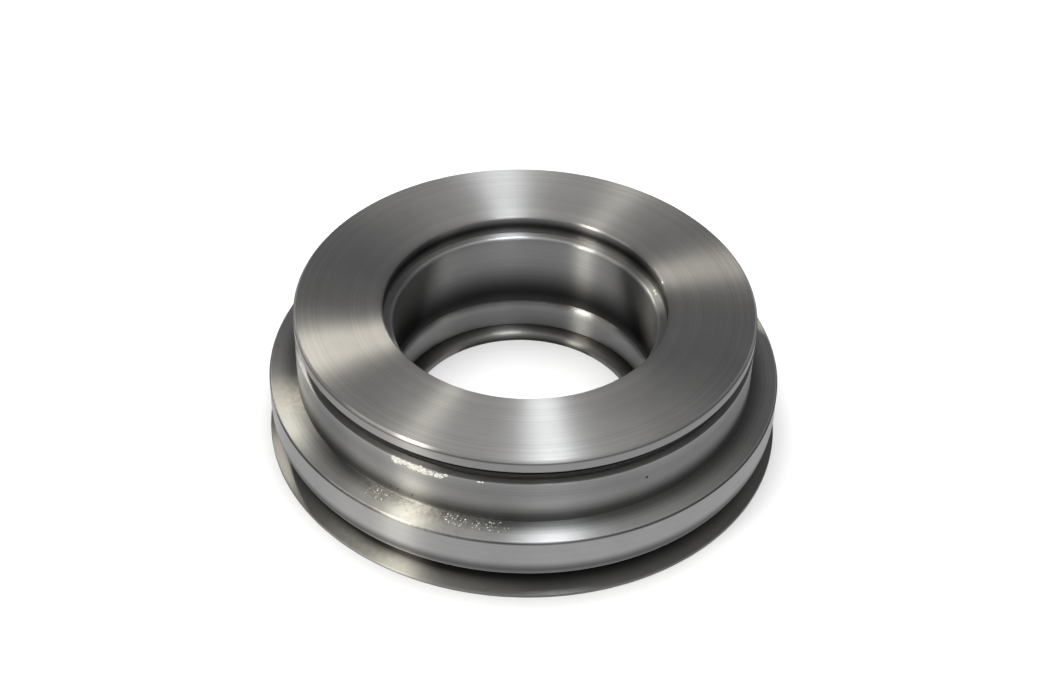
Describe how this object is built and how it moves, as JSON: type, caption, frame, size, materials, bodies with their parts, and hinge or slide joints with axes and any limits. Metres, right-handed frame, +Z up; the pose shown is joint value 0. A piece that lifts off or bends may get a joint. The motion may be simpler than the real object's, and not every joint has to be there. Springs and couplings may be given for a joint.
{
  "type": "thrust ball bearing",
  "caption": "Flanged thrust ball bearing: a flat-faced thrust washer turns on caged balls over a stepped, flanged housing with a thin base plate and a central shaft bore.",
  "frame": {"origin": "centre of the base plate's underside, on the bearing's axis", "axes": "+Z up the bearing's axis, from the base plate to the flat thrust face; +X through the centre of ball_01"},
  "size_m": [0.069, 0.069, 0.0196],
  "materials": {
    "turned_steel": "face-turned, fine concentric lines, bright",
    "sleeve_steel": "smooth bored, satin",
    "housing_steel": "turned, satin, small burrs and nicks on the edges",
    "race_steel": "ground, satin",
    "plate_steel": "turned, satin",
    "ball_steel": "polished",
    "cage_brass": "machined, satin",
    "spring_steel": "dark tempered, satin",
    "seal_rubber": "matte black"
  },
  "bodies": {
    "housing": {"base_plate": "plate_steel", "lower_race_washer": "race_steel", "flanged_housing": "housing_steel", "inner_seal": "seal_rubber", "retaining_ring": "spring_steel"},
    "thrust_washer": {"thrust_washer": "turned_steel", "shaft_sleeve": "sleeve_steel", "outer_seal": "seal_rubber"},
    "cage": {"ball_cage": "cage_brass"},
    "ball_01": {"ball_01": "ball_steel"},
    "ball_02": {"ball_02": "ball_steel"},
    "ball_03": {"ball_03": "ball_steel"},
    "ball_04": {"ball_04": "ball_steel"},
    "ball_05": {"ball_05": "ball_steel"},
    "ball_06": {"ball_06": "ball_steel"},
    "ball_07": {"ball_07": "ball_steel"},
    "ball_08": {"ball_08": "ball_steel"},
    "ball_09": {"ball_09": "ball_steel"},
    "ball_10": {"ball_10": "ball_steel"},
    "ball_11": {"ball_11": "ball_steel"},
    "ball_12": {"ball_12": "ball_steel"},
    "ball_13": {"ball_13": "ball_steel"},
    "ball_14": {"ball_14": "ball_steel"},
    "ball_15": {"ball_15": "ball_steel"},
    "ball_16": {"ball_16": "ball_steel"}
  },
  "joints": [
    {"name": "thrust_washer_spin", "type": "hinge", "parent": "housing", "child": "thrust_washer", "pos_m": [0, 0, 0.0112], "axis": [0, 0, 1], "continuous": true},
    {"name": "cage_spin", "type": "hinge", "parent": "housing", "child": "cage", "pos_m": [0, 0, 0.0112], "axis": [0, 0, 1], "continuous": true},
    {"name": "ball_01_roll", "type": "hinge", "parent": "cage", "child": "ball_01", "pos_m": [0.02417, 0, 0.0112], "axis": [1, 0, 0], "continuous": true},
    {"name": "ball_02_roll", "type": "hinge", "parent": "cage", "child": "ball_02", "pos_m": [0.02233, 0.00925, 0.0112], "axis": [0.9239, 0.3827, 0], "continuous": true},
    {"name": "ball_03_roll", "type": "hinge", "parent": "cage", "child": "ball_03", "pos_m": [0.01709, 0.01709, 0.0112], "axis": [0.7071, 0.7071, 0], "continuous": true},
    {"name": "ball_04_roll", "type": "hinge", "parent": "cage", "child": "ball_04", "pos_m": [0.00925, 0.02233, 0.0112], "axis": [0.3827, 0.9239, 0], "continuous": true},
    {"name": "ball_05_roll", "type": "hinge", "parent": "cage", "child": "ball_05", "pos_m": [0, 0.02417, 0.0112], "axis": [0, 1, 0], "continuous": true},
    {"name": "ball_06_roll", "type": "hinge", "parent": "cage", "child": "ball_06", "pos_m": [-0.00925, 0.02233, 0.0112], "axis": [-0.3827, 0.9239, 0], "continuous": true},
    {"name": "ball_07_roll", "type": "hinge", "parent": "cage", "child": "ball_07", "pos_m": [-0.01709, 0.01709, 0.0112], "axis": [-0.7071, 0.7071, 0], "continuous": true},
    {"name": "ball_08_roll", "type": "hinge", "parent": "cage", "child": "ball_08", "pos_m": [-0.02233, 0.00925, 0.0112], "axis": [-0.9239, 0.3827, 0], "continuous": true},
    {"name": "ball_09_roll", "type": "hinge", "parent": "cage", "child": "ball_09", "pos_m": [-0.02417, 0, 0.0112], "axis": [-1, 0, 0], "continuous": true},
    {"name": "ball_10_roll", "type": "hinge", "parent": "cage", "child": "ball_10", "pos_m": [-0.02233, -0.00925, 0.0112], "axis": [-0.9239, -0.3827, 0], "continuous": true},
    {"name": "ball_11_roll", "type": "hinge", "parent": "cage", "child": "ball_11", "pos_m": [-0.01709, -0.01709, 0.0112], "axis": [-0.7071, -0.7071, 0], "continuous": true},
    {"name": "ball_12_roll", "type": "hinge", "parent": "cage", "child": "ball_12", "pos_m": [-0.00925, -0.02233, 0.0112], "axis": [-0.3827, -0.9239, 0], "continuous": true},
    {"name": "ball_13_roll", "type": "hinge", "parent": "cage", "child": "ball_13", "pos_m": [0, -0.02417, 0.0112], "axis": [0, -1, 0], "continuous": true},
    {"name": "ball_14_roll", "type": "hinge", "parent": "cage", "child": "ball_14", "pos_m": [0.00925, -0.02233, 0.0112], "axis": [0.3827, -0.9239, 0], "continuous": true},
    {"name": "ball_15_roll", "type": "hinge", "parent": "cage", "child": "ball_15", "pos_m": [0.01709, -0.01709, 0.0112], "axis": [0.7071, -0.7071, 0], "continuous": true},
    {"name": "ball_16_roll", "type": "hinge", "parent": "cage", "child": "ball_16", "pos_m": [0.02233, -0.00925, 0.0112], "axis": [0.9239, -0.3827, 0], "continuous": true}
  ],
  "couplings": [
    {"joint": "cage_spin", "follows": "thrust_washer_spin", "ratio": 0.5},
    {"joint": "ball_01_roll", "follows": "thrust_washer_spin", "ratio": -3.8071},
    {"joint": "ball_02_roll", "follows": "thrust_washer_spin", "ratio": -3.8071},
    {"joint": "ball_03_roll", "follows": "thrust_washer_spin", "ratio": -3.8071},
    {"joint": "ball_04_roll", "follows": "thrust_washer_spin", "ratio": -3.8071},
    {"joint": "ball_05_roll", "follows": "thrust_washer_spin", "ratio": -3.8071},
    {"joint": "ball_06_roll", "follows": "thrust_washer_spin", "ratio": -3.8071},
    {"joint": "ball_07_roll", "follows": "thrust_washer_spin", "ratio": -3.8071},
    {"joint": "ball_08_roll", "follows": "thrust_washer_spin", "ratio": -3.8071},
    {"joint": "ball_09_roll", "follows": "thrust_washer_spin", "ratio": -3.8071},
    {"joint": "ball_10_roll", "follows": "thrust_washer_spin", "ratio": -3.8071},
    {"joint": "ball_11_roll", "follows": "thrust_washer_spin", "ratio": -3.8071},
    {"joint": "ball_12_roll", "follows": "thrust_washer_spin", "ratio": -3.8071},
    {"joint": "ball_13_roll", "follows": "thrust_washer_spin", "ratio": -3.8071},
    {"joint": "ball_14_roll", "follows": "thrust_washer_spin", "ratio": -3.8071},
    {"joint": "ball_15_roll", "follows": "thrust_washer_spin", "ratio": -3.8071},
    {"joint": "ball_16_roll", "follows": "thrust_washer_spin", "ratio": -3.8071}
  ]
}
